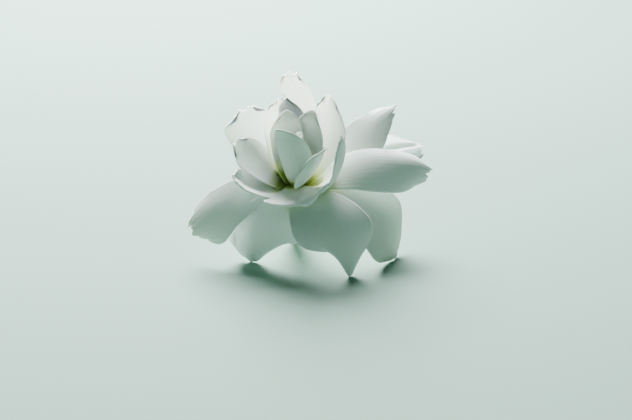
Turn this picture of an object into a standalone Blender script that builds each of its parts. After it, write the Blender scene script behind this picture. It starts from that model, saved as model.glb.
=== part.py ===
"""A picked double gardenia: one bloom on a short cut stem, leaning on its lower petals.

The bloom is built upright in its own frame, in millimetres, with +Z up its axis and the throat at
the origin. It is then tipped forwards until it rests on its stem and its drooping front petals.
"""

import math
from typing import NamedTuple

import bmesh
import bpy
import numpy as np
from mathutils import Matrix, Vector

MM = 0.001

# How the picked flower lies: tipped forwards about X, with its throat held over the surface.
LEAN_DEG = 25.0
THROAT_AT_MM = (-5.63, -0.20, 26.38)

PETAL_THICKNESS = 0.7
SEPAL_THICKNESS = 0.9
SHEATH_SPOKES = 16
CROSS_STEPS = 12

PETAL_WHITE = (0.86, 0.90, 0.86)
CALYX_GREEN = (0.16, 0.30, 0.07)


class Petal(NamedTuple):
    """One petal, in millimetres and degrees. Left and right are as seen from the axis, looking out.

    azimuth   where it grows: 0 is +X, 90 is +Y, 270 is the front
    spine     its midline in the upright plane of its azimuth: four Bezier points (reach, rise)
    right     Bezier half widths from base to tip on the clockwise side
    left      the same on the counter-clockwise side
    tip       where the rounded end starts, as a share of the length, right and left
    point     0 for a rounded end, up to 1 for a pointed one
    sway      how far the tip is carried sideways, counter-clockwise
    roll      turn of the blade about its midline, at the base and at the tip
    curl      how far each margin turns up towards the axis, at the base and at the tip
    edge      extra turn of the outermost part, on the clockwise and counter-clockwise margin
    wave      height of the ruffles, their number along a margin, and their phase
    ends      bites out of the end: (across, depth as a share of the length, spread)
    sides     bites out of a margin: (side, along, depth as a share of the width, spread)
    folds     raised ridges: (across, height, spread, where along it starts)
    lip       how far the very end turns out, away from the axis
    nick      depth of the small notches in the end, as a share of the length
    """

    name: str
    azimuth: float
    spine: tuple
    right: tuple
    left: tuple
    tip: tuple = (0.7, 0.7)
    point: float = 0.0
    sway: float = 0.0
    roll: tuple = (0.0, 0.0)
    curl: tuple = (20.0, 0.0)
    edge: tuple = (0.0, 0.0)
    wave: tuple = (0.8, 1.5, 0.0)
    ends: tuple = ()
    sides: tuple = ()
    folds: tuple = ()
    lip: float = 0.0
    nick: float = 0.03


OUTER = (
    Petal("low_left", 197, ((3, -3), (13, 4), (27, -1), (38.5, -12)), (3, 8, 10.5, 9), (3, 8, 15, 14),
          tip=(0.72, 0.78), roll=(0, -8), curl=(15, -20), wave=(0.7, 1.3, 0.5)),
    Petal("front_left", 231, ((3, -3), (12, 4), (21, -1), (23.5, -21)), (3, 9, 18.5, 16), (3, 9, 17, 14.5),
          tip=(0.78, 0.78), roll=(0, -12), curl=(10, -20), wave=(0.8, 1.4, 2.0), ends=((0.95, 0.18, 0.4),),
          sides=((-1, 0.9, 0.35, 0.07),), folds=((-0.85, 1.2, 0.2, 0.2),)),
    Petal("front", 301, ((3, -3), (13, 4), (30, 1), (36.5, -15.9)), (3, 12, 18, 10), (3, 12, 17.5, 17),
          tip=(0.5, 0.6), point=0.6, curl=(15, -18), wave=(0.8, 1.2, 1.0), ends=((-0.8, 0.2, 0.5),)),
    Petal("low_right", 339, ((3, -3.5), (13, 1), (33.5, -2), (39, -22.6)), (3, 8, 14, 13), (3, 10, 22, 19),
          tip=(0.8, 0.84), curl=(10, -15), wave=(1.0, 1.4, 3.0)),
    Petal("right", 10, ((3, -3), (16, 7), (35, 7), (49.5, -3)), (3, 10, 16, 10), (3, 8, 12, 9),
          tip=(0.68, 0.68), curl=(10, -40), wave=(0.7, 2.0, 0.3)),
    Petal("right_back", 24, ((3, -3.5), (14, 2), (34, 3), (50.5, -1.5)), (3, 7, 12, 9), (3, 7, 12, 9),
          tip=(0.75, 0.75), curl=(10, -20), wave=(0.9, 2.2, 1.3), folds=((0.1, -0.9, 0.12, 0.2),)),
    Petal("high_right", 39, ((3, -4), (14, 0), (31, 6), (47.5, 9.5)), (3, 8, 12, 9), (3, 8, 9, 4),
          tip=(0.7, 0.93), curl=(10, -12), wave=(0.7, 1.2, 2.0), ends=((-1.0, 0.10, 0.6),)),
    Petal("high_back", 93, ((3, -3), (10, 6), (20, 18), (28, 28)), (3, 8, 12, 6), (3, 8, 3, 5),
          tip=(0.62, 0.8), curl=(15, 10), wave=(0.6, 1.6, 0.0)),
    Petal("high_left", 128, ((3, -3), (12, 1), (21, 6), (29.5, 14.5)), (3, 8, 10, 9), (3, 9, 13, 10),
          tip=(0.86, 0.92), curl=(15, 5), wave=(0.7, 1.4, 1.0)),
)

MIDDLE = (
    Petal("cup_left", 199, ((2.5, -2), (9, 0), (16, 2), (22, 9)), (3, 7, 8, 6), (3, 7, 10, 7.5),
          tip=(0.85, 0.7), curl=(20, 25), edge=(10, 60), wave=(0.6, 1.5, 0.0)),
    Petal("cup_front", 277, ((1, -0.8), (9, -2), (14, 6), (15.5, 3.5)), (3, 9, 18, 12), (3, 10, 18, 12),
          tip=(0.7, 0.6), roll=(0, 10), curl=(28, 34), wave=(0.2, 1.5, 1.0)),
    Petal("cup_right", 345, ((2.5, -2), (13, -1), (20, 9), (15.5, 21)), (4, 8.5, 9.5, 6), (4, 7, 8, 4),
          tip=(0.6, 0.6), sway=5.2, curl=(35, 30), edge=(-60, 0), wave=(0.3, 1.5, 2.0)),
    Petal("cup_back_right", 54, ((2.5, -2), (9, 3), (18, 14), (20, 27.3)), (4, 10, 17, 11), (4, 8, 5, 2.5),
          tip=(0.6, 0.85), curl=(30, 35), wave=(0.4, 1.5, 0.7), nick=0.01),
    Petal("cup_back", 104, ((2.5, -2), (8, 3), (15, 13), (21, 22)), (4, 8, 10, 7), (4, 8, 8, 5.5),
          tip=(0.7, 0.75), curl=(30, 20), wave=(0.5, 1.5, 2.2)),
    Petal("cup_high_left", 159, ((2.5, -2), (7, 1), (14, 5), (22.5, 12.5)), (3, 7, 9, 7), (3, 7, 9.5, 8),
          tip=(0.72, 0.76), curl=(25, 15), wave=(0.5, 1.5, 1.0)),
)

INNER = (
    Petal("heart_back", 101, ((1.5, -1), (5, 6), (10, 14), (11, 23)), (3, 6, 5, 5), (3, 8, 7, 7),
          tip=(0.75, 0.75), curl=(30, 45), edge=(-90, -90), wave=(0.1, 1.0, 0.0), nick=0.0, lip=1.6),
    Petal("heart_back_right", 63, ((1.5, -1), (6, 5), (11, 14), (12.6, 23)), (3, 8, 9.5, 5.5), (3, 6, 5, 4.5),
          tip=(0.65, 0.75), curl=(30, 50), edge=(-90, -90), wave=(0.1, 1.0, 1.0), nick=0.0, lip=1.6),
    Petal("heart_bud", 55, ((1, -1), (2, 4), (3, 12), (3.6, 21)), (2, 4, 7, 4), (2, 4, 5, 3),
          tip=(0.5, 0.7), curl=(30, 60), edge=(-50, -50), wave=(0.1, 1.0, 1.0), nick=0.0, lip=0.8),
    Petal("heart_front", 250, ((0.6, -0.3), (3, 6), (2.5, 15), (-0.5, 24)), (1, 3, 3, 3), (1, 6, 17, 5),
          tip=(0.8, 0.25), sway=-5.6, curl=(30, 40), edge=(0, -100), wave=(0.1, 1.0, 0.0), nick=0.0,
          lip=1.6),
    Petal("heart_right", 320, ((1, -0.6), (4, 2.5), (9.5, 9), (9, 19.5)), (1.5, 9, 13, 5), (2, 6, 8, 4),
          tip=(0.6, 0.6), sway=3.2, curl=(20, 35), edge=(-90, -60), wave=(0.1, 1.0, 0.0), nick=0.0,
          lip=1.0),
)

# Outline of the sheath that the petals grow from, as (radius, height), down its outer side.
SHEATH_OUTER = ((7.0, -1.6), (5.6, -3.0), (4.5, -5.5), (3.8, -9.0), (3.3, -13.0), (2.9, -17.0), (2.6, -20.3))
SHEATH_THROAT = ((0.0, -8.5), (1.4, -7.5), (2.4, -4.5), (4.2, -2.0), (6.0, -1.2))

SEAT_GAP = 0.3
CALYX_OUTER = ((3.9, -15.4), (4.5, -16.0), (4.5, -18.0), (4.2, -20.5), (3.4, -23.0), (2.4, -24.6), (2.0, -25.6))
CALYX_SOCKET = ((0.0, -20.6), (2.9, -20.6), (3.2, -17.0), (3.5, -15.4))
STEM_OUTER = ((1.9, -26.5), (2.05, -27.4), (1.95, -28.2))
SEPALS = 6
SEPAL_SPINE = ((4.0, -17.6), (5.0, -13.5), (6.0, -10.0), (9.2, -6.5))
SEPAL_HALF_WIDTHS = (1.9, 1.6, 1.1, 0.5)
SEPAL_FIRST_DEG = 20.0


def bezier(points, share):
    """Points of a cubic Bezier, one row for each share of its length."""
    start, first, second, end = (np.asarray(point, float) for point in points)
    t = share[:, None]
    return (1 - t) ** 3 * start + 3 * (1 - t) ** 2 * t * first + 3 * (1 - t) * t**2 * second + t**3 * end


def bezier_slope(points, share):
    start, first, second, end = (np.asarray(point, float) for point in points)
    t = share[:, None]
    return 3 * ((1 - t) ** 2 * (first - start) + 2 * (1 - t) * t * (second - first) + t**2 * (end - second))


def unit(rows):
    return rows / np.linalg.norm(rows, axis=1, keepdims=True)


def bump_at(value, centre, spread):
    return np.exp(-(((value - centre) / spread) ** 2))


def half_width(petal, side, along):
    """Half width of the blade on one side, rounded off towards the tip."""
    controls = np.where(side[:, None] < 0, np.array(petal.right, float), np.array(petal.left, float))
    t = along[:, None]
    weights = np.hstack([(1 - t) ** 3, 3 * (1 - t) ** 2 * t, 3 * (1 - t) * t**2, t**3])
    start = np.where(side < 0, petal.tip[0], petal.tip[1])
    past = np.clip((along - start) / (1 - start), 0, 1)
    width = (weights * controls).sum(axis=1) * (1 - 0.75 * past**2) ** (0.5 + 1.2 * petal.point)
    for bitten, where, depth, spread in petal.sides:
        width = width * (1 - np.where(side == bitten, depth, 0) * bump_at(along, where, spread))
    return width


def petal_points(petal, across, along):
    """Points of a petal's middle surface: across runs from -1 to 1, along from 0 at the base to 1."""
    side = np.sign(across)
    reach_out = np.abs(across)
    notch = petal.nick * (0.5 + 0.5 * np.sin(7.3 * across + 9.1 * petal.azimuth)) * along**4
    notch += 0.35 * petal.nick * np.sin(19 * across + 5 * petal.azimuth) * along**8
    for where, depth, spread in petal.ends:
        notch = notch + depth * bump_at(across, where, spread) * along**2
    # The end is as broad as the blade is there, with its two corners rounded off.
    notch += 0.09 * (1 - np.sqrt(1 - 0.98 * across**2)) * along**6
    share = along * (1 - notch)

    turn = math.radians(petal.azimuth)
    out = np.array([math.cos(turn), math.sin(turn), 0.0])
    around = np.array([-math.sin(turn), math.cos(turn), 0.0])
    up = np.array([0.0, 0.0, 1.0])
    line = bezier(petal.spine, share)
    slope = bezier_slope(petal.spine, share)
    centre = line[:, :1] * out + line[:, 1:] * up + petal.sway * (share**2)[:, None] * around
    tangent = unit(slope[:, :1] * out + slope[:, 1:] * up + 2 * petal.sway * share[:, None] * around)
    sideways = unit(around - (tangent @ around)[:, None] * tangent)
    normal = np.cross(tangent, sideways)
    roll = np.radians(petal.roll[0] + (petal.roll[1] - petal.roll[0]) * share)[:, None]
    sideways, normal = (
        sideways * np.cos(roll) + normal * np.sin(roll),
        normal * np.cos(roll) - sideways * np.sin(roll),
    )

    width = half_width(petal, side, along)
    bend = np.radians(petal.curl[0] + (petal.curl[1] - petal.curl[0]) * share)
    extra = np.radians(np.where(side < 0, petal.edge[0], petal.edge[1])) * share
    flat, raised = np.zeros_like(along), np.zeros_like(along)
    for step in range(CROSS_STEPS):
        t = reach_out * (step + 0.5) / CROSS_STEPS
        angle = bend * t + extra * np.clip((t - 0.7) / 0.3, 0, 1) ** 2
        flat += np.cos(angle) * reach_out / CROSS_STEPS
        raised += np.sin(angle) * reach_out / CROSS_STEPS
    height, count, phase = petal.wave
    ruffle = height * reach_out**2 * share * np.sin(2 * math.pi * count * share + phase + 1.7 * side)
    ruffle += 0.5 * height * share**3 * np.sin(3.0 * across + phase)
    ruffle -= petal.lip * np.clip((share - 0.85) / 0.15, 0, 1) ** 2
    for where, rise, spread, start in petal.folds:
        ruffle += rise * bump_at(across, where, spread) * np.clip((share - start) / 0.3, 0, 1)
    return (
        centre
        + sideways * (side * width * flat)[:, None]
        + normal * (width * raised + ruffle)[:, None]
    )


def blade(petal, columns, rows, thickness, collection, name=None):
    """A petal as a bent grid, split alike on both faces and thickened."""
    mesh = bpy.data.meshes.new(name or petal.name)
    grid = bmesh.new()
    bmesh.ops.create_grid(grid, x_segments=columns, y_segments=rows, size=1.0)
    flat = np.array([vertex.co[:2] for vertex in grid.verts])
    across = flat[:, 0]
    along = 1 - (0.5 - 0.5 * flat[:, 1]) ** 1.25
    for vertex, point in zip(grid.verts, petal_points(petal, across, along)):
        vertex.co = Vector(point * MM)
    bmesh.ops.triangulate(grid, faces=grid.faces[:])
    grid.to_mesh(mesh)
    grid.free()
    made = bpy.data.objects.new(name or petal.name, mesh)
    collection.objects.link(made)
    thicken = made.modifiers.new("thickness", "SOLIDIFY")
    thicken.thickness = thickness * MM
    thicken.offset = 0
    return made


def turned(name, outline, collection):
    """A solid of revolution from its outline, run down the outer side and back up the inner one."""
    mesh = bpy.data.meshes.new(name)
    points = [(radius * MM, 0.0, height * MM) for radius, height in outline]
    mesh.from_pydata(points, [(i, i + 1) for i in range(len(points) - 1)], [])
    made = bpy.data.objects.new(name, mesh)
    collection.objects.link(made)
    screw = made.modifiers.new("turn", "SCREW")
    screw.steps = screw.render_steps = SHEATH_SPOKES
    screw.use_merge_vertices = True
    screw.merge_threshold = 0.00001
    return made


def evaluated_mesh(made):
    graph = bpy.context.evaluated_depsgraph_get()
    return bpy.data.meshes.new_from_object(made.evaluated_get(graph))


def signed_volume(faces):
    return sum(face.verts[0].co.dot(face.verts[1].co.cross(face.verts[2].co)) for face in faces)


def keep_main_body(mesh):
    """Fills the hollows that the union sealed and drops loose scraps: only the largest shell stays."""
    shape = bmesh.new()
    shape.from_mesh(mesh)
    bmesh.ops.triangulate(shape, faces=shape.faces[:])
    unseen = set(shape.faces)
    shells = []
    while unseen:
        front = [unseen.pop()]
        shell = list(front)
        while front:
            near = {f for edge in front.pop().edges for f in edge.link_faces} & unseen
            unseen -= near
            front.extend(near)
            shell.extend(near)
        shells.append(shell)
    main = max(shells, key=signed_volume)
    spare = [face for shell in shells if shell is not main for face in shell]
    bmesh.ops.delete(shape, geom=spare, context="FACES")
    shape.to_mesh(mesh)
    shape.free()


def join_all(core, pieces, name, material):
    """Joins the pieces to the core in one closed body, and removes what it was made from.

    The thin blades cross at shallow angles, where the exact solver leaves edges that touch.
    """
    union = core.modifiers.new("join", "BOOLEAN")
    union.operation = "UNION"
    union.operand_type = "COLLECTION"
    union.collection = pieces
    union.solver = "MANIFOLD"
    bpy.context.view_layer.update()
    mesh = evaluated_mesh(core)
    mesh.name = name
    keep_main_body(mesh)
    mesh.materials.clear()
    mesh.materials.append(material)
    for piece in [core, *pieces.objects]:
        bpy.data.objects.remove(piece)
    bpy.data.collections.remove(pieces)
    made = bpy.data.objects.new(name, mesh)
    mesh.shade_smooth()
    mesh.set_sharp_from_angle(angle=math.radians(50))
    return made


def finish(name, colour, roughness):
    material = bpy.data.materials.new(name)
    material.use_nodes = True
    shader = material.node_tree.nodes["Principled BSDF"]
    shader.inputs["Base Color"].default_value = (*colour, 1)
    shader.inputs["Roughness"].default_value = roughness
    shader.inputs["Metallic"].default_value = 0.0
    return material


def new_collection(name):
    made = bpy.data.collections.new(name)
    bpy.context.scene.collection.children.link(made)
    return made


def corolla():
    """The white flower: every petal joined to the sheath that it grows from."""
    pieces = new_collection("petals")
    for petal in OUTER:
        blade(petal, 7, 10, PETAL_THICKNESS, pieces)
    for petal in MIDDLE:
        blade(petal, 6, 8, PETAL_THICKNESS, pieces)
    for petal in INNER:
        blade(petal, 5, 7, PETAL_THICKNESS, pieces)
    outline = [*SHEATH_THROAT, *SHEATH_OUTER, (0.0, SHEATH_OUTER[-1][1])]
    core = turned("sheath", outline, bpy.context.scene.collection)
    return join_all(core, pieces, "corolla", finish("petal_white", PETAL_WHITE, 0.55))


def sepal(index):
    turn = SEPAL_FIRST_DEG + index * 360.0 / SEPALS
    return Petal(f"sepal_{index}", turn, SEPAL_SPINE, SEPAL_HALF_WIDTHS, SEPAL_HALF_WIDTHS,
                 tip=(0.3, 0.3), curl=(30, 25), wave=(0.0, 1.0, 0.0), nick=0.0)


def calyx():
    """The green cup under the petals, with its narrow sepals, and the short cut stem below it."""
    pieces = new_collection("sepals")
    for index in range(SEPALS):
        blade(sepal(index), 2, 6, SEPAL_THICKNESS, pieces)
    outline = [*CALYX_SOCKET, *CALYX_OUTER, *STEM_OUTER, (0.0, STEM_OUTER[-1][1])]
    core = turned("calyx_core", outline, bpy.context.scene.collection)
    return join_all(core, pieces, "calyx_and_stem", finish("calyx_green", CALYX_GREEN, 0.5))


def lay_down(objects):
    """Tips the upright flower forwards and sets it on the surface, with its place in its mesh."""
    shift = Vector(THROAT_AT_MM) * MM
    pose = Matrix.Translation(shift) @ Matrix.Rotation(math.radians(LEAN_DEG), 4, "X")
    for made in objects:
        made.data.transform(pose)


def main():
    for old in list(bpy.data.objects):
        bpy.data.objects.remove(old)
    flower = new_collection("gardenia_flower")
    pieces = [corolla(), calyx()]
    lay_down(pieces)
    for piece in pieces:
        flower.objects.link(piece)


if __name__ == "__main__":
    main()
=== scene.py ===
"""Finish of the picked double gardenia: its petals, sheath, calyx and cut stem, lit as in a studio.

The bloom is shaped upright in its own frame, in millimetres, with +Z up its axis and the throat at
the origin. Each piece is then tipped forwards with the flower, in its own mesh.
"""

import math
from typing import NamedTuple

import bmesh
import bpy
import numpy as np
from mathutils import Matrix, Vector


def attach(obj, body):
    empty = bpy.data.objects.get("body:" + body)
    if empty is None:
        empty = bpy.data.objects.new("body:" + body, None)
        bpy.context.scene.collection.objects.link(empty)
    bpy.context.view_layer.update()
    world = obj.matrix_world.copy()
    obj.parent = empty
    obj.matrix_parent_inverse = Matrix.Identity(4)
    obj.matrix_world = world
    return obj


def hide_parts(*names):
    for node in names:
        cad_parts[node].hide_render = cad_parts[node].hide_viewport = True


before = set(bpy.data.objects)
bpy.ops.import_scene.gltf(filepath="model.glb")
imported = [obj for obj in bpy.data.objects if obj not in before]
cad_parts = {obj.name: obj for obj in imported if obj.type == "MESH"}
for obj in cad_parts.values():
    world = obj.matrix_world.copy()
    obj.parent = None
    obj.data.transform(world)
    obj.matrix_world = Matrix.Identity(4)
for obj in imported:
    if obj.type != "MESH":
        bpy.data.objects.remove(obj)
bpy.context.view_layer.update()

MM = 0.001
LEAN_DEG = 25.0
THROAT_AT_MM = (-5.63, -0.20, 26.38)

# Shares of a petal's half width or length, where something of its shape starts.
EDGE_TURNS_FROM = 0.7
LIP_TURNS_FROM = 0.85
FULL_THICKNESS_ACROSS = 0.955
FULL_THICKNESS_ALONG = 0.985
# The share of the length over which a fold rises.
FOLD_RISES_OVER = 0.3
# Fine veins: how closely they stand across a petal, both raised and painted.
VEIN_SPACING = 34.0
# Steps from the midline to a margin over which its bend is summed.
CROSS_STEPS = 16
# Points closer than this, in metres, become one.
MARGIN_WELD = 0.000002
POLE_WELD = 0.0000005
# The seed of the first whorl's pucker; the next ones count up from it.
FIRST_SEED = 7


class Petal(NamedTuple):
    """One petal, in millimetres and degrees. Left and right are as seen from the axis, looking out.

    azimuth   where it grows: 0 is +X, 90 is +Y, 270 is the front
    spine     its midline in the upright plane of its azimuth: four Bezier points (reach, rise)
    right     Bezier half widths from base to tip on the clockwise side
    left      the same on the counter-clockwise side
    tip       where the rounded end starts, as a share of the length, right and left
    point     0 for a rounded end, up to 1 for a pointed one
    sway      how far the tip is carried sideways, counter-clockwise
    roll      turn of the blade about its midline, at the base and at the tip
    curl      how far each margin turns up towards the axis, at the base and at the tip
    edge      extra turn of the outermost part, on the clockwise and counter-clockwise margin
    wave      height of the ruffles, their number along a margin, and their phase
    ends      bites out of the end: (across, depth as a share of the length, spread)
    sides     bites out of a margin: (side, along, depth as a share of the width, spread)
    folds     raised ridges: (across, height, spread, where along it starts)
    lip       how far the very end turns out, away from the axis
    frill     height of the fine crimp of the margin
    nick      depth of the small notches in the end, as a share of the length
    age       how far the end has yellowed
    stain     how far up the yellow-green of the base reaches, as a share of the length; its olive darkens at the base as painted shade of the throat
    """

    name: str
    azimuth: float
    spine: tuple
    right: tuple
    left: tuple
    tip: tuple = (0.7, 0.7)
    point: float = 0.0
    sway: float = 0.0
    roll: tuple = (0.0, 0.0)
    curl: tuple = (20.0, 0.0)
    edge: tuple = (0.0, 0.0)
    wave: tuple = (0.8, 1.5, 0.0)
    ends: tuple = ()
    sides: tuple = ()
    folds: tuple = ()
    lip: float = 0.0
    frill: float = 0.25
    nick: float = 0.03
    age: float = 0.0
    tint_and_throat_shade: float = 0.28


OUTER = (
    Petal("low_left", 197, ((3, -3), (13, 4), (27, -1), (38.5, -12)), (3, 8, 8, 6.5), (3, 7, 10, 14),
          tip=(0.72, 0.78), roll=(-8, -26), curl=(10, -30), wave=(0.7, 1.3, 0.5), age=0.6),
    Petal("front_left", 231, ((3, -3), (12, 4), (20, 0), (24, -20.4)), (2, 4, 6, 19), (3, 9, 18, 14.5),
          tip=(0.88, 0.78), roll=(0, -22), curl=(5, -15), edge=(-70, 0), wave=(0.5, 1.4, 2.0),
          nick=0.01, frill=0.12, ends=((-1.0, 0.14, 0.35), (0.95, 0.18, 0.4)),
          folds=((-0.45, -0.8, 0.2, 0.3),)),
    Petal("front", 301, ((3, -3), (13, 4), (30, 1), (36.5, -15.2)), (3, 12, 18, 10), (3, 12, 17.5, 17),
          tip=(0.5, 0.6), point=0.6, curl=(15, -18), wave=(0.8, 1.2, 1.0), nick=0.005, frill=0.1,
          ends=((-0.8, 0.2, 0.5),)),
    Petal("low_right", 339, ((3, -3.5), (13, 1), (33.5, -2), (39, -21.9)), (3, 8, 14, 13), (3, 10, 22, 19),
          tip=(0.8, 0.8), curl=(10, -15), wave=(1.0, 1.4, 3.0), nick=0.008, frill=0.12, age=0.8),
    Petal("right", 10, ((3, -3), (16, 7), (35, 7), (49.5, -3)), (3, 9, 13.5, 9), (3, 6.5, 8.5, 7),
          tip=(0.68, 0.68), roll=(8, 24), curl=(10, -50), wave=(0.7, 2.0, 0.3)),
    Petal("right_back", 24, ((3, -3.5), (14, 2), (34, 3), (50.5, -1.5)), (3, 7, 12, 9), (3, 7, 12, 9),
          tip=(0.75, 0.75), curl=(10, -20), wave=(0.9, 2.2, 1.3), folds=((0.1, -0.9, 0.12, 0.2),)),
    Petal("high_right", 39, ((3, -4), (14, 0), (31, 6), (47.5, 9.5)), (3, 8, 10.5, 8), (3, 7, 8, 3.5),
          tip=(0.7, 0.93), roll=(5, 16), curl=(10, -20), wave=(0.7, 1.2, 2.0), ends=((-1.0, 0.10, 0.6),)),
    Petal("high_back", 93, ((3, -3), (10, 6), (20, 18), (28, 28)), (3, 8, 12, 6), (3, 8, 3, 5),
          tip=(0.62, 0.8), curl=(15, 10), wave=(0.6, 1.6, 0.0),
          sides=((1, 0.79, 0.45, 0.035),)),
    Petal("high_left", 128, ((3, -3), (12, 1), (21, 6), (29.5, 14.5)), (3, 8, 10, 9), (3, 9, 13, 10),
          tip=(0.86, 0.92), curl=(15, 5), wave=(0.5, 1.4, 1.0), frill=0.15),
)

MIDDLE = (
    Petal("cup_left", 199, ((2.5, -2), (9, 0), (16, 2), (22, 9)), (3, 7, 8, 6), (3, 7, 10, 7.5),
          tip=(0.85, 0.7), curl=(20, 25), edge=(10, 60), wave=(0.6, 1.5, 0.0), tint_and_throat_shade=0.3),
    Petal("cup_front", 277, ((1, -0.8), (9, -2), (14, 6.5), (15.4, 3.6)), (3, 9, 17, 8), (3, 10, 17, 9),
          tip=(0.75, 0.6), roll=(0, 15), curl=(28, 34), wave=(0.2, 1.5, 1.0), tint_and_throat_shade=0.1),
    Petal("cup_right", 345, ((2.5, -2), (13, -1), (20, 9), (15.5, 21)), (4, 8.5, 9.5, 6), (4, 7, 8, 4),
          tip=(0.6, 0.6), sway=5.2, curl=(35, 30), edge=(-60, 0), wave=(0.3, 1.5, 2.0), tint_and_throat_shade=0.3),
    Petal("cup_back_right", 54, ((2.5, -2), (9, 3), (18, 14), (20, 27.3)), (4, 10, 17, 11), (4, 8, 5, 2.5),
          tip=(0.6, 0.85), curl=(30, 35), wave=(0.4, 1.5, 0.7), nick=0.01, tint_and_throat_shade=0.34),
    Petal("cup_back", 104, ((2.5, -2), (8, 3), (15, 13), (21, 22)), (4, 8, 10, 7), (4, 8, 8, 5.5),
          tip=(0.7, 0.75), curl=(20, 0), wave=(0.5, 1.5, 2.2), tint_and_throat_shade=0.34),
    Petal("cup_high_left", 159, ((2.5, -2), (7, 1), (14, 5), (22.5, 12.5)), (3, 7, 9, 7), (3, 7, 9.5, 8),
          tip=(0.72, 0.76), curl=(25, 15), wave=(0.35, 1.5, 1.0), frill=0.12, tint_and_throat_shade=0.42),
)

INNER = (
    Petal("heart_back", 101, ((1.5, -1), (5, 6), (10, 14), (11, 23)), (3, 6, 5, 5), (3, 8, 7, 7),
          tip=(0.75, 0.75), curl=(30, 45), edge=(-90, -90), wave=(0.1, 1.0, 0.0),
          frill=0.06, nick=0.0, lip=2.2, tint_and_throat_shade=0.42),
    Petal("heart_back_right", 63, ((1.5, -1), (6, 5), (11, 14), (12.6, 23)), (3, 8, 9.5, 5.5), (3, 6, 5, 4.5),
          tip=(0.65, 0.75), curl=(30, 50), edge=(-90, -90), wave=(0.1, 1.0, 1.0),
          frill=0.06, nick=0.0, lip=2.2, tint_and_throat_shade=0.42),
    Petal("heart_bud", 55, ((1, -1), (2, 4), (3, 12), (3.6, 21)), (2, 4, 7, 4), (2, 4, 5, 3),
          tip=(0.5, 0.7), curl=(30, 60), edge=(-50, -50), wave=(0.1, 1.0, 1.0),
          frill=0.03, nick=0.0, lip=0.8, tint_and_throat_shade=0.3),
    Petal("heart_front", 250, ((0.6, -0.3), (3, 6), (2.5, 15), (-0.5, 24)), (1, 3, 3, 3), (1, 4.5, 17, 5),
          tip=(0.8, 0.25), sway=-5.6, curl=(30, 40), edge=(0, -100), wave=(0.1, 1.0, 0.0),
          frill=0.06, nick=0.0, lip=2.2, tint_and_throat_shade=0.2),
    Petal("heart_right", 329, ((2.9, 1.2), (4.8, 3.2), (9.5, 9), (9.3, 18.5)), (1.5, 9, 14, 8), (2, 7, 9, 6),
          tip=(0.6, 0.7), sway=3.2, curl=(20, 40), edge=(-90, -40), wave=(0.1, 1.0, 0.0),
          frill=0.06, nick=0.0, lip=1.4, tint_and_throat_shade=0.06),
)

# Turned outlines, as (radius, height).
SHEATH_THROAT = ((0.0, -8.5), (1.4, -7.5), (2.4, -4.5), (4.2, -2.0), (6.0, -1.2))
SHEATH_OUTER = (
    (7.0, -1.6), (5.6, -3.0), (4.5, -5.5), (3.8, -9.0), (3.3, -13.0), (2.9, -17.0), (2.6, -20.3),
)

CALYX_OUTER = (
    (3.9, -15.4), (4.5, -16.0), (4.5, -18.0), (4.2, -20.5), (3.4, -23.0), (2.4, -24.6), (2.0, -25.6),
)
CALYX_SOCKET = ((0.0, -20.6), (2.9, -20.6), (3.2, -17.0), (3.5, -15.4))
STEM_TOP = (1.7, -25.2)
STEM_OUTER = ((1.9, -26.5), (2.05, -27.4), (1.95, -28.2))
# Rings of the cut end as shares of its radius, and how far each is from bark to pith.
CUT_RINGS = ((0.97, 0.05), (0.8, 0.3), (0.6, 0.5), (0.4, 0.7), (0.2, 0.9), (0.0, 1.0))
# Points round each ring.
TUBE_SPOKES = 72
STEM_SPOKES = 48
# Ribs stand this share of the radius proud; those of the cup fade above and below a height.
SHEATH_RIB = 0.02
STEM_RIB = 0.03
CUP_RIB = 0.05
CUP_RIB_HEIGHT = -19
CUP_RIB_FADE = 3.5

SEPALS = 6
SEPAL_SPINE = ((4.0, -17.6), (5.0, -13.5), (6.0, -10.0), (9.2, -6.5))
SEPAL_HALF_WIDTHS = (1.9, 1.6, 1.1, 0.5)
SEPAL_FIRST_DEG = 20.0
# Each sepal leans out a little more or less than the next, most of all at its tip.
SEPAL_LEAN = 2.0
SEPAL_LEAN_TURN = 2.4
SEPAL_LEAN_SHARES = (0, 0.3, 0.6, 0.8)


# The petal's shape


def bezier(points, share):
    """Points of a cubic Bezier, one row for each share of its length."""
    start, first, second, end = (np.asarray(point, float) for point in points)
    t = share[:, None]
    return (1 - t) ** 3 * start + 3 * (1 - t) ** 2 * t * first + 3 * (1 - t) * t**2 * second + t**3 * end


def bezier_slope(points, share):
    start, first, second, end = (np.asarray(point, float) for point in points)
    t = share[:, None]
    return 3 * ((1 - t) ** 2 * (first - start) + 2 * (1 - t) * t * (second - first) + t**2 * (end - second))


def unit(rows):
    return rows / np.linalg.norm(rows, axis=1, keepdims=True)


def bump_at(value, centre, spread):
    return np.exp(-(((value - centre) / spread) ** 2))


def past(value, start, stretch=None):
    """How far a value is past its start: 0 before it, and 1 after the stretch or else at 1."""
    return np.clip((value - start) / (stretch or 1 - start), 0, 1)


def half_width(petal, side, along):
    """Half width of the blade on one side, rounded off towards the tip."""
    controls = np.where(side[:, None] < 0, np.array(petal.right, float), np.array(petal.left, float))
    t = along[:, None]
    weights = np.hstack([(1 - t) ** 3, 3 * (1 - t) ** 2 * t, 3 * (1 - t) * t**2, t**3])
    start = np.where(side < 0, *petal.tip)
    rounding = (1 - 0.75 * past(along, start) ** 2) ** (0.5 + 1.2 * petal.point)
    width = (weights * controls).sum(axis=1) * rounding
    for bitten, where, depth, spread in petal.sides:
        width = width * (1 - np.where(side == bitten, depth, 0) * bump_at(along, where, spread))
    return width


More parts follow.
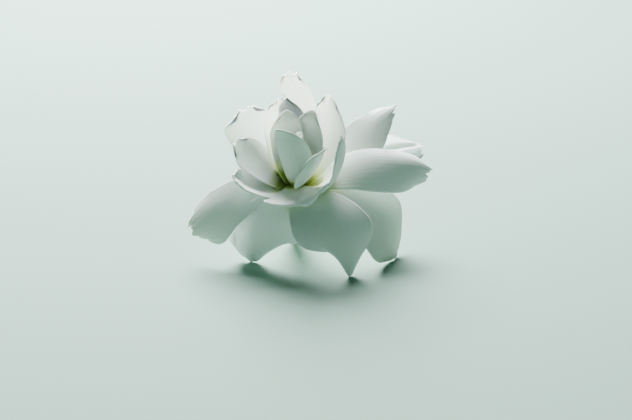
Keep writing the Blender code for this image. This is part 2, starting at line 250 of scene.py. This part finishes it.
def crimp(petal, across, share):
    """Fine ruffle of the margin, from a few sines that never line up."""
    seed = petal.azimuth * 0.7
    side = np.sign(across)
    swell = np.sin(23 * share + seed + side) + 0.7 * np.sin(41 * share + 2.3 * seed - side)
    swell += 0.5 * np.sin(67 * share + 3.1 * seed + 2 * side)
    round_end = np.sin(9 * across + seed) + 0.6 * np.sin(17 * across + 2 * seed)
    return petal.frill * share * (np.abs(across) ** 6 * swell * 0.5 + share**10 * round_end * 0.6)


def petal_points(petal, across, along):
    """Points of a petal's middle surface: across runs from -1 to 1, along from 0 at the base to 1."""
    side = np.sign(across)
    reach_out = np.abs(across)
    notch = petal.nick * (0.5 + 0.5 * np.sin(7.3 * across + 9.1 * petal.azimuth)) * along**4
    notch += 0.35 * petal.nick * np.sin(19 * across + 5 * petal.azimuth) * along**8
    for where, depth, spread in petal.ends:
        notch = notch + depth * bump_at(across, where, spread) * along**2
    # The end is as broad as the blade is there, with its two corners rounded off.
    notch += 0.09 * (1 - np.sqrt(1 - 0.98 * across**2)) * along**6
    share = along * (1 - notch)

    turn = math.radians(petal.azimuth)
    out = np.array([math.cos(turn), math.sin(turn), 0.0])
    around = np.array([-math.sin(turn), math.cos(turn), 0.0])
    up = np.array([0.0, 0.0, 1.0])
    line = bezier(petal.spine, share)
    slope = bezier_slope(petal.spine, share)
    centre = line[:, :1] * out + line[:, 1:] * up + petal.sway * (share**2)[:, None] * around
    tangent = unit(slope[:, :1] * out + slope[:, 1:] * up + 2 * petal.sway * share[:, None] * around)
    sideways = unit(around - (tangent @ around)[:, None] * tangent)
    normal = np.cross(tangent, sideways)
    roll = np.radians(petal.roll[0] + (petal.roll[1] - petal.roll[0]) * share)[:, None]
    sideways, normal = (
        sideways * np.cos(roll) + normal * np.sin(roll),
        normal * np.cos(roll) - sideways * np.sin(roll),
    )

    width = half_width(petal, side, along)
    bend = np.radians(petal.curl[0] + (petal.curl[1] - petal.curl[0]) * share)
    extra = np.radians(np.where(side < 0, *petal.edge)) * share
    flat, raised = np.zeros_like(along), np.zeros_like(along)
    for step in range(CROSS_STEPS):
        t = reach_out * (step + 0.5) / CROSS_STEPS
        angle = bend * t + extra * past(t, EDGE_TURNS_FROM) ** 2
        flat += np.cos(angle) * reach_out / CROSS_STEPS
        raised += np.sin(angle) * reach_out / CROSS_STEPS
    height, count, phase = petal.wave
    ruffle = height * reach_out**2 * share * np.sin(2 * math.pi * count * share + phase + 1.7 * side)
    ruffle += 0.5 * height * share**3 * np.sin(3.0 * across + phase)
    ruffle += crimp(petal, across, share) - petal.lip * past(share, LIP_TURNS_FROM) ** 2
    for where, rise, spread, start in petal.folds:
        ruffle += rise * bump_at(across, where, spread) * past(share, start, FOLD_RISES_OVER)
    return (
        centre
        + sideways * (side * width * flat)[:, None]
        + normal * (width * raised + ruffle)[:, None]
    )


def laid_down():
    """The turn and shift that tip the upright flower onto its front petals."""
    shift = Vector(THROAT_AT_MM) * MM
    return Matrix.Translation(shift) @ Matrix.Rotation(math.radians(LEAN_DEG), 4, "X")


def blade_sheet(petals, columns, rows, name):
    """The middle surfaces of several petals in one mesh, with how far across and along each point is."""
    # Columns crowd towards the margins and rows towards the tip, where the edge is rounded.
    side = np.sin(np.linspace(-math.pi / 2, math.pi / 2, columns))
    length = np.sin(np.linspace(0, math.pi / 2, rows))
    length[-1] = 1.0
    across, along = (grid.ravel() for grid in np.meshgrid(side, length))
    points, quads = [], []
    row, column = (grid.ravel() for grid in np.meshgrid(np.arange(rows - 1), np.arange(columns - 1)))
    corner = row * columns + column
    square = np.stack([corner, corner + 1, corner + columns + 1, corner + columns], axis=1)
    for number, petal in enumerate(petals):
        points.append(petal_points(petal, across, along))
        quads.append(square + number * columns * rows)
    mesh = bpy.data.meshes.new(name)
    mesh.from_pydata((np.vstack(points) * MM).tolist(), [], np.vstack(quads).tolist())
    store(mesh, "across", np.tile(across, len(petals)))
    store(mesh, "along", np.tile(along, len(petals)))
    store(mesh, "age", np.repeat([petal.age for petal in petals], columns * rows))
    store(mesh, "tint_and_throat_shade", np.repeat([petal.tint_and_throat_shade for petal in petals], columns * rows))
    return mesh


def store(mesh, name, values):
    """Keeps one number for each point of a mesh, for its blade tree and its material to read."""
    layer = mesh.attributes.new(name, "FLOAT", "POINT")
    layer.data.foreach_set("value", np.asarray(values, np.float32))


# Nodes


class NodeMaker:
    """A short way to add and link the nodes of one tree."""

    def __init__(self, tree):
        self.nodes = tree.nodes
        self.links = tree.links

    def add(self, kind, inputs=None, **settings):
        """One node: its settings by name, and its inputs by name or number, as values or sockets."""
        node = self.nodes.new(kind)
        for key, value in settings.items():
            setattr(node, key, value)
        for key, value in (inputs or {}).items():
            self.give(node.inputs[key], value)
        return node

    def give(self, socket, value):
        """Links a socket to another one, or sets its value."""
        if isinstance(value, bpy.types.NodeSocket):
            self.links.new(value, socket)
        else:
            socket.default_value = value

    def math(self, operation, *values):
        return self.add("ShaderNodeMath", dict(enumerate(values)), operation=operation).outputs[0]

    def product(self, first, second):
        return self.math("MULTIPLY", first, second)

    def less(self, value, part):
        return self.math("SUBTRACT", value, part)

    def stripes(self, across, spacing, sharpness):
        """Fine lines along a petal: 1 on a line and 0 between, narrower the sharper they are."""
        wave = self.math("SINE", self.product(across, spacing))
        return self.math("POWER", self.math("ADD", self.product(wave, 0.5), 0.5), sharpness)


class Tree(NodeMaker):
    """A Geometry Nodes tree with named inputs."""

    def __init__(self, name, sizes):
        self.tree = bpy.data.node_groups.new(name, "GeometryNodeTree")
        super().__init__(self.tree)
        side = self.tree.interface
        side.new_socket("Geometry", in_out="INPUT", socket_type="NodeSocketGeometry")
        side.new_socket("Geometry", in_out="OUTPUT", socket_type="NodeSocketGeometry")
        for label, kind, value in sizes:
            socket = side.new_socket(label, in_out="INPUT", socket_type=kind)
            if value is not None:
                socket.default_value = value
        self.start = self.nodes.new("NodeGroupInput")
        self.end = self.nodes.new("NodeGroupOutput")

    def size(self, label):
        return self.start.outputs[label]

    def scaled(self, vector, factor):
        node = self.add("ShaderNodeVectorMath", {0: vector, "Scale": factor}, operation="SCALE")
        return node.outputs["Vector"]

    def point_value(self, name):
        return self.add("GeometryNodeInputNamedAttribute", {"Name": name}, data_type="FLOAT").outputs[0]

    def close(self, geometry, material):
        """Every tree ends in real geometry with its material set."""
        real = self.add("GeometryNodeRealizeInstances", {"Geometry": geometry}).outputs[0]
        done = self.add("GeometryNodeSetMaterial", {"Geometry": real, "Material": material})
        self.links.new(done.outputs[0], self.end.inputs[0])
        return self.tree


def petal_blade_tree():
    """Turns a petal's middle surface into a fleshy blade: veined, faintly puckered, round at its margin."""
    make = Tree(
        "petal_blade",
        [
            ("Thickness", "NodeSocketFloat", 0.0005),
            ("Vein Depth", "NodeSocketFloat", 0.00005),
            ("Vein Spacing", "NodeSocketFloat", VEIN_SPACING),
            ("Pucker", "NodeSocketFloat", 0.00012),
            ("Seed", "NodeSocketInt", FIRST_SEED),
            ("Material", "NodeSocketMaterial", None),
        ],
    )
    across = make.point_value("across")
    along = make.point_value("along")
    normal = make.add("GeometryNodeInputNormal").outputs[0]

    # The blade is full over most of its width and rounds off over the last half millimetre.
    sideways = make.less(make.math("ABSOLUTE", across), FULL_THICKNESS_ACROSS)
    sideways = make.math("DIVIDE", sideways, 1 - FULL_THICKNESS_ACROSS)
    endwards = make.math("DIVIDE", make.less(along, FULL_THICKNESS_ALONG), 1 - FULL_THICKNESS_ALONG)
    farther = make.math("MAXIMUM", make.math("MAXIMUM", sideways, 0.0), endwards)
    farther = make.math("MINIMUM", farther, 1.0)
    body = make.math("SQRT", make.less(1.0, make.product(farther, farther)))

    # Veins fan out from the base: they keep their share of the width all the way to the tip.
    wander = make.add("ShaderNodeTexNoise", {"Scale": 90.0, "Detail": 1.0}, noise_dimensions="3D")
    drift = make.product(make.less(wander.outputs[0], 0.5), 0.10)
    groove = make.stripes(make.math("ADD", across, drift), make.size("Vein Spacing"), sharpness=4.0)
    veins = make.product(make.product(groove, make.size("Vein Depth")), body)

    position = make.add("GeometryNodeInputPosition").outputs[0]
    seeded = make.add("ShaderNodeCombineXYZ", {"X": make.product(make.size("Seed"), 0.37)}).outputs[0]
    shifted = make.add("ShaderNodeVectorMath", {0: position, 1: seeded}, operation="ADD").outputs[0]
    cloud = make.add("ShaderNodeTexNoise", {"Vector": shifted, "Scale": 260.0, "Detail": 2.0})
    pucker = make.product(make.less(cloud.outputs[0], 0.5), make.size("Pucker"))
    lift = make.scaled(normal, make.less(make.product(pucker, along), veins))
    sheet = make.add("GeometryNodeSetPosition", {"Geometry": make.size("Geometry"), "Offset": lift})

    half = make.product(make.product(make.size("Thickness"), 0.5), body)
    sides = []
    for offset in (half, make.product(half, -1.0)):
        moved = {"Geometry": sheet.outputs[0], "Offset": make.scaled(normal, offset)}
        sides.append(make.add("GeometryNodeSetPosition", moved).outputs[0])
    under = make.add("GeometryNodeFlipFaces", {"Mesh": sides[1]}).outputs[0]
    joined = make.add("GeometryNodeJoinGeometry")
    make.links.new(sides[0], joined.inputs[0])
    make.links.new(under, joined.inputs[0])
    closed = {"Geometry": joined.outputs[0], "Distance": MARGIN_WELD}
    welded = make.add("GeometryNodeMergeByDistance", closed)
    smooth = make.add("GeometryNodeSetShadeSmooth", {"Geometry": welded.outputs[0]})
    return make.close(smooth.outputs[0], make.size("Material"))


def grow(source, tree, values, name):
    """Runs a tree on a mesh with the values given, and keeps the result as a plain mesh object."""
    holder = bpy.data.objects.new(name, source)
    bpy.context.scene.collection.objects.link(holder)
    modifier = holder.modifiers.new(tree.name, "NODES")
    modifier.node_group = tree
    sockets = {item.name: item.identifier for item in tree.interface.items_tree if item.in_out == "INPUT"}
    for label, value in values.items():
        modifier[sockets[label]] = value
    graph = bpy.context.evaluated_depsgraph_get()
    mesh = bpy.data.meshes.new_from_object(holder.evaluated_get(graph))
    bpy.data.objects.remove(holder)
    return placed(mesh, name)


def placed(mesh, name):
    """A piece of the flower, tipped with it, with its place in its mesh."""
    mesh.transform(laid_down())
    mesh.name = name
    piece = bpy.data.objects.new(name, mesh)
    bpy.context.scene.collection.objects.link(piece)
    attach(piece, "root")
    return piece


# Materials


# Numbers of a Mix node's sockets for colours.
MIX_FACTOR, MIX_FIRST, MIX_SECOND, MIX_RESULT = 0, 6, 7, 2


class Finish(NodeMaker):
    """A material on the Principled shader, with its plain values by name."""

    def __init__(self, name, **values):
        self.material = bpy.data.materials.new(name)
        self.material.use_nodes = True
        super().__init__(self.material.node_tree)
        self.shader = self.nodes["Principled BSDF"]
        for key, value in values.items():
            self.shader.inputs[key.replace("_", " ")].default_value = value

    def skin(self, group, **sizes):
        """The plant skin at this finish's own sizes."""
        node = self.add("ShaderNodeGroup", node_tree=group)
        for key, value in sizes.items():
            node.inputs[key.replace("_", " ")].default_value = value
        return node

    def bumps(self, height, strength, distance):
        bump = self.add("ShaderNodeBump", {"Height": height, "Strength": strength, "Distance": distance})
        self.feed("Normal", bump.outputs[0])

    def point_value(self, name):
        return self.add("ShaderNodeAttribute", attribute_name=name).outputs["Fac"]

    def ramp(self, value, stops):
        """Colours along a value, smoothly blended between stops of (place, colour)."""
        node = self.add("ShaderNodeValToRGB", {"Fac": value})
        node.color_ramp.interpolation = "EASE"
        for place, _ in stops[2:]:
            node.color_ramp.elements.new(place)
        for element, (place, colour) in zip(node.color_ramp.elements, sorted(stops)):
            element.position = place
            element.color = (*colour, 1)
        return node.outputs["Color"]

    def mix(self, factor, first, second):
        node = self.add("ShaderNodeMix", data_type="RGBA")
        for number, value in ((MIX_FACTOR, factor), (MIX_FIRST, first), (MIX_SECOND, second)):
            self.give(node.inputs[number], value)
        return node.outputs[MIX_RESULT]

    def feed(self, socket, value):
        self.links.new(value, self.shader.inputs[socket])


def skin_group():
    """Plant skin: soft blotches as a tone, and fine cells as a height."""
    group = bpy.data.node_groups.new("plant_skin", "ShaderNodeTree")
    side = group.interface
    for label, value in (("Cell Size", 1800.0), ("Blotch Size", 120.0), ("Amount", 0.5)):
        side.new_socket(label, in_out="INPUT", socket_type="NodeSocketFloat").default_value = value
    for label in ("Tone", "Height"):
        side.new_socket(label, in_out="OUTPUT", socket_type="NodeSocketFloat")
    make = NodeMaker(group)
    start = make.add("NodeGroupInput").outputs
    end = make.add("NodeGroupOutput").inputs
    where = make.add("ShaderNodeTexCoord").outputs["Object"]
    cells = make.add("ShaderNodeTexVoronoi", {"Vector": where, "Scale": start["Cell Size"]})
    blotch = make.add("ShaderNodeTexNoise", {"Vector": where, "Scale": start["Blotch Size"], "Detail": 4.0})
    make.links.new(blotch.outputs[0], end["Tone"])
    make.links.new(make.product(cells.outputs["Distance"], start["Amount"]), end["Height"])
    return group


def petal_finish(name, skin, depth, glow, white):
    """Waxy white petal flesh: yellow-green at the base that darkens to olive at the throat as painted shade,
    faint veins, and yellowed ends where it is old.

    The deeper the light goes in, and the farther it glows, the more of it comes through from behind. Its
    white is given per copy, greyer for the petals that sit in shade: painted shade.
    """
    make = Finish(
        name,
        Subsurface_Weight=depth,
        Subsurface_Radius=(1.0, 1.0, 0.75),
        Subsurface_Scale=glow,
        IOR=1.42,
        Coat_Weight=0.06,
        Coat_Roughness=0.35,
        Sheen_Weight=0.12,
        Sheen_Roughness=0.5,
    )
    along, across, age, tint_and_throat_shade = (make.point_value(label) for label in ("along", "across", "age", "tint_and_throat_shade"))
    cells = make.skin(skin, Cell_Size=1500.0, Blotch_Size=140.0, Amount=0.25)
    tone = cells.outputs["Tone"]

    uneven = make.product(make.less(tone, 0.5), 0.06)
    risen = make.math("DIVIDE", make.math("ADD", along, uneven), make.math("MAXIMUM", tint_and_throat_shade, 0.02))
    # Yellow-green tint at the base, running to a dark olive at the very base that is painted shade of the
    # throat.
    body = make.ramp(
        make.product(risen, 0.6),
        [
            (0.00, (0.20, 0.26, 0.015)),
            (0.22, (0.32, 0.38, 0.05)),
            (0.42, (0.74, 0.79, 0.46)),
            (0.60, (0.84, 0.89, 0.78)),
            (1.00, white),
        ],
    )
    ripe = make.product(make.math("POWER", along, 5.0), age)
    ripe = make.product(ripe, make.product(tone, 0.75))
    aged = make.mix(ripe, body, (0.80, 0.80, 0.42, 1))

    vein = make.stripes(across, VEIN_SPACING, sharpness=5.0)
    faint = make.product(vein, make.product(make.less(1.0, along), 0.16))
    make.feed("Base Color", make.mix(faint, aged, (0.66, 0.74, 0.52, 1)))
    make.feed("Roughness", make.math("ADD", 0.36, make.product(tone, 0.22)))
    relief = make.math("ADD", cells.outputs["Height"], make.product(vein, -0.5))
    make.bumps(relief, strength=0.12, distance=0.0002)
    return make.material


def sheath_finish(skin):
    """The corolla's tube: greenish white, with an olive throat that darkens towards its bottom as painted
    shade.
    """
    make = Finish(
        "sheath_flesh",
        Roughness=0.5,
        Subsurface_Weight=0.3,
        Subsurface_Scale=0.0012,
        Subsurface_Radius=(1.0, 1.0, 0.6),
    )
    cells = make.skin(skin, Blotch_Size=200.0)
    uneven = make.product(make.less(cells.outputs["Tone"], 0.5), 0.15)
    # The olive inside the throat is partly yellow-green tint and partly painted shade, darkest at the bottom
    # of the well.
    colour = make.ramp(
        make.math("ADD", make.point_value("down"), uneven),
        [
            (0.0, (0.13, 0.17, 0.01)),
            (0.26, (0.22, 0.28, 0.03)),
            (0.34, (0.62, 0.70, 0.40)),
            (0.75, (0.70, 0.76, 0.56)),
            (1.0, (0.50, 0.62, 0.30)),
        ],
    )
    make.feed("Base Color", colour)
    make.bumps(cells.outputs["Height"], strength=0.2, distance=0.0002)
    return make.material


def green_finish(skin):
    """Calyx and sepals: mottled mid green, paler at the sepals' ends."""
    make = Finish(
        "calyx_green_skin",
        Roughness=0.42,
        Subsurface_Weight=0.08,
        Subsurface_Scale=0.0008,
        Subsurface_Radius=(0.5, 1.0, 0.2),
    )
    cells = make.skin(skin, Cell_Size=2600.0, Blotch_Size=260.0)
    colour = make.ramp(
        cells.outputs["Tone"],
        [(0.25, (0.07, 0.17, 0.025)), (0.5, (0.12, 0.25, 0.045)), (0.75, (0.22, 0.36, 0.09))],
    )
    tip = make.math("POWER", make.point_value("along"), 4.0)
    make.feed("Base Color", make.mix(make.product(tip, 0.5), colour, (0.38, 0.46, 0.14, 1)))
    make.bumps(cells.outputs["Height"], strength=0.35, distance=0.0003)
    return make.material


def stem_finish(skin):
    """The young woody stem: olive bark with paler blotches, and pale pith on the cut."""
    make = Finish("stem_bark", Roughness=0.6)
    cells = make.skin(skin, Cell_Size=1400.0, Blotch_Size=500.0)
    bark = make.ramp(
        cells.outputs["Tone"],
        [(0.3, (0.10, 0.15, 0.035)), (0.55, (0.18, 0.22, 0.06)), (0.75, (0.30, 0.27, 0.12))],
    )
    inwards = make.point_value("cut")
    pith = make.ramp(inwards, [(0.4, (0.30, 0.36, 0.12)), (0.8, (0.70, 0.72, 0.50))])
    on_cut = make.math("GREATER_THAN", inwards, 0.02)
    make.feed("Base Color", make.mix(on_cut, bark, pith))
    make.bumps(cells.outputs["Height"], strength=0.5, distance=0.0004)
    return make.material


# The turned pieces


def smooth_profile(points, steps):
    """A turned outline with its corners eased: a Catmull-Rom curve through its points."""
    points = np.array(points, float)
    padded = np.vstack([2 * points[0] - points[1], points, 2 * points[-1] - points[-2]])
    rows = []
    for number in range(len(points) - 1):
        before, start, end, after = padded[number : number + 4]
        for t in np.linspace(0, 1, steps, endpoint=False):
            bow = (2 * before - 5 * start + 4 * end - after) * t**2
            twist = (3 * start - before - 3 * end + after) * t**3
            rows.append(0.5 * (2 * start + (end - before) * t + bow + twist))
    rows.append(points[-1])
    return np.array(rows)


def turned(outline, spokes, rib, label, values):
    """A ribbed solid of revolution, run down its outer side, with a labelled number for each ring."""
    angles = np.linspace(0, 2 * math.pi, spokes, endpoint=False)
    points, faces, numbers = [], [], []
    for ring, (radius, height) in enumerate(outline):
        swell = 1 + rib(height) * np.cos(SEPALS * (angles - math.radians(SEPAL_FIRST_DEG)))
        reach = radius * swell * MM
        points += [(r * math.cos(a), r * math.sin(a), height * MM) for r, a in zip(reach, angles)]
        numbers += [values[ring]] * spokes
    for ring in range(len(outline) - 1):
        for spoke in range(spokes):
            after = (spoke + 1) % spokes
            a, b = ring * spokes + spoke, ring * spokes + after
            faces.append((a, a + spokes, b + spokes, b))
    mesh = bpy.data.meshes.new(label)
    mesh.from_pydata(points, [], faces)
    store(mesh, label, numbers)
    shape = bmesh.new()
    shape.from_mesh(mesh)
    bmesh.ops.remove_doubles(shape, verts=shape.verts, dist=POLE_WELD)
    bmesh.ops.recalc_face_normals(shape, faces=shape.faces)
    shape.to_mesh(mesh)
    shape.free()
    mesh.shade_smooth()
    return mesh


def sheath(finish):
    """The tube of the corolla, from the throat down to its foot in the calyx."""
    outline = smooth_profile([*SHEATH_THROAT, *SHEATH_OUTER], steps=6)
    outline[:, 0] = np.clip(outline[:, 0], 0.0, None)
    outline = np.vstack([outline, [(0.0, SHEATH_OUTER[-1][1])]])
    down = np.linspace(0, 1, len(outline))
    mesh = turned(outline, TUBE_SPOKES, lambda height: SHEATH_RIB, "down", down)
    mesh.materials.append(finish)
    tube = placed(mesh, "corolla_tube")
    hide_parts("corolla")


def cup_rib(height):
    return CUP_RIB * math.exp(-(((height - CUP_RIB_HEIGHT) / CUP_RIB_FADE) ** 2))


def calyx_cup(green):
    """The green cup with its ribs, hollow where the corolla's foot sits."""
    outline = smooth_profile([*CALYX_SOCKET[1:], *CALYX_OUTER], steps=5)
    outline = np.vstack([[(0.0, CALYX_SOCKET[0][1])], outline, [(0.0, CALYX_OUTER[-1][1])]])
    mesh = turned(outline, TUBE_SPOKES, cup_rib, "along", np.zeros(len(outline)))
    mesh.materials.append(green)
    cup = placed(mesh, "calyx_cup")
    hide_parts("calyx_and_stem")


def sepals(green, blade_tree):
    """The narrow sepals that stand round the cup, each on one of its ribs."""
    petals = []
    for number in range(SEPALS):
        lean = SEPAL_LEAN * math.sin(SEPAL_LEAN_TURN * number)
        spine = tuple(
            (reach + lean * share**2, rise) for (reach, rise), share in zip(SEPAL_SPINE, SEPAL_LEAN_SHARES)
        )
        azimuth = SEPAL_FIRST_DEG + number * 360 / SEPALS
        petals.append(
            Petal(f"sepal_{number}", azimuth, spine, SEPAL_HALF_WIDTHS, SEPAL_HALF_WIDTHS, tip=(0.3, 0.3),
                  curl=(30, 25), wave=(0.0, 1.0, 0.0), nick=0.0, frill=0.0)
        )
    values = {
        "Thickness": 0.0008,
        "Vein Depth": 0.00008,
        "Vein Spacing": 9.0,
        "Pucker": 0.0001,
        "Material": green,
    }
    sheet = blade_sheet(petals, columns=20, rows=40, name="sepals")
    ring = grow(sheet, blade_tree, values, "sepals")
    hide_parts("calyx_and_stem")


def stem(finish):
    """The short stem under the calyx, with its clean cut."""
    side = smooth_profile([STEM_TOP, *STEM_OUTER], steps=6)
    radius, height = STEM_OUTER[-1]
    face = [(radius * share, height) for share, pith in CUT_RINGS]
    outline = np.vstack([[(0.0, STEM_TOP[1])], side, face])
    cut = np.concatenate([np.zeros(len(side) + 1), [pith for share, pith in CUT_RINGS]])
    mesh = turned(outline, STEM_SPOKES, lambda height: STEM_RIB, "cut", cut)
    mesh.set_sharp_from_angle(angle=math.radians(50))
    mesh.materials.append(finish)
    piece = placed(mesh, "cut_stem")
    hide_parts("calyx_and_stem")


# The studio


# The middle of the flower, in metres, which the lights face.
LIT_POINT = (0, 0, 0.03)


def studio():
    """A wide pale floor in a dim room, with a broad light above and behind the flower and a faint fill."""
    bpy.ops.mesh.primitive_plane_add(size=6)
    floor = bpy.context.object
    floor.name = "studio_floor"
    paint = Finish("pale_floor", Base_Color=(0.2, 0.31, 0.26, 1), Roughness=0.85)
    floor.data.materials.append(paint.material)

    world = bpy.data.worlds.new("soft_room")
    bpy.context.scene.world = world
    world.use_nodes = True
    room = world.node_tree.nodes["Background"]
    room.inputs["Color"].default_value = (0.5, 1.0, 0.78, 1)
    room.inputs["Strength"].default_value = 0.12
    soft_light("overhead", place=(-0.12, 0.60, 0.53), size=0.55, power=57.0, colour=(0.92, 1.0, 0.98))
    soft_light("side_fill", place=(-0.8, -0.2, 0.35), size=0.6, power=0.3, colour=(0.70, 1.0, 0.90))


def soft_light(name, place, size, power, colour):
    """A round lamp, turned to face the flower."""
    light = bpy.data.lights.new(name, "AREA")
    light.shape = "DISK"
    light.size = size
    light.energy = power
    light.color = colour
    lamp = bpy.data.objects.new(name, light)
    lamp.location = place
    lamp.rotation_mode = "QUATERNION"
    lamp.rotation_quaternion = (Vector(LIT_POINT) - Vector(place)).to_track_quat("-Z", "Y")
    bpy.context.scene.collection.objects.link(lamp)


def camera():
    """Looks down at 20 degrees from the front, framing the throat left of and above the middle."""
    lens, sensor = 90.0, 36.0
    frame_width, frame_height = 632, 420
    pixels_per_mm = 2.85
    throat_pixel = (294, 183)
    elevation = math.radians(20)
    distance = lens / sensor * frame_width / pixels_per_mm * MM
    view = bpy.data.cameras.new("front_view")
    view.lens = lens
    view.sensor_width = sensor
    holder = bpy.data.objects.new("front_view", view)
    bpy.context.scene.collection.objects.link(holder)
    back = Vector((0, -math.cos(elevation), math.sin(elevation)))
    up = Vector((0, math.sin(elevation), math.cos(elevation)))
    right = Vector((1, 0, 0)) * (frame_width / 2 - throat_pixel[0]) / pixels_per_mm * MM
    raise_by = up * (throat_pixel[1] - frame_height / 2) / pixels_per_mm * MM
    holder.location = Vector(THROAT_AT_MM) * MM + back * distance + right + raise_by
    holder.rotation_euler = (math.pi / 2 - elevation, 0, 0)
    bpy.context.scene.camera = holder


def main():
    camera()
    skin = skin_group()
    blade_tree = petal_blade_tree()
    # The whorls differ in how much light comes through their flesh, and how white it is: the white steps down
    # from the lit back petals to the shaded front ones and the bud, as painted light and shade.
    thin = petal_finish("petal_flesh_thin", skin, depth=1.0, glow=0.004, white=(0.95, 0.98, 0.93))
    soft = petal_finish("petal_flesh_soft", skin, depth=0.6, glow=0.0015, white=(0.88, 0.92, 0.86))
    firm = petal_finish("petal_flesh_firm", skin, depth=0.06, glow=0.0005, white=(0.85, 0.90, 0.87))
    # The bud's flesh is set greyer and greener than the other petals' white: painted shade on the front heart
    # petals.
    shaded_bud_flesh = petal_finish("petal_flesh_bud_painted_shade", skin, depth=0.05, glow=0.0005, white=(0.68, 0.79, 0.71))
    # Each with the columns and rows of a petal's mesh, and its thickness in metres.
    whorls = (
        ("outer_firm_petals", (*OUTER[:5], OUTER[6]), 56, 64, 0.0007, firm),
        ("outer_thin_petals", (OUTER[5], *OUTER[7:]), 56, 64, 0.0006, thin),
        ("front_cup_petals", MIDDLE[:3], 56, 56, 0.0007, firm),
        ("back_cup_petals", MIDDLE[3:], 52, 56, 0.0006, thin),
        ("heart_petals", INNER[:3], 44, 56, 0.0007, soft),
        ("front_heart_petals", INNER[3:], 44, 56, 0.0008, shaded_bud_flesh),
    )
    for number, (name, petals, columns, rows, thickness, flesh) in enumerate(whorls):
        values = {"Thickness": thickness, "Seed": FIRST_SEED + number, "Material": flesh}
        whorl = grow(blade_sheet(petals, columns, rows, name), blade_tree, values, name)
        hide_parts("corolla")
    sheath(sheath_finish(skin))
    green = green_finish(skin)
    calyx_cup(green)
    sepals(green, blade_tree)
    stem(stem_finish(skin))
    studio()


main()
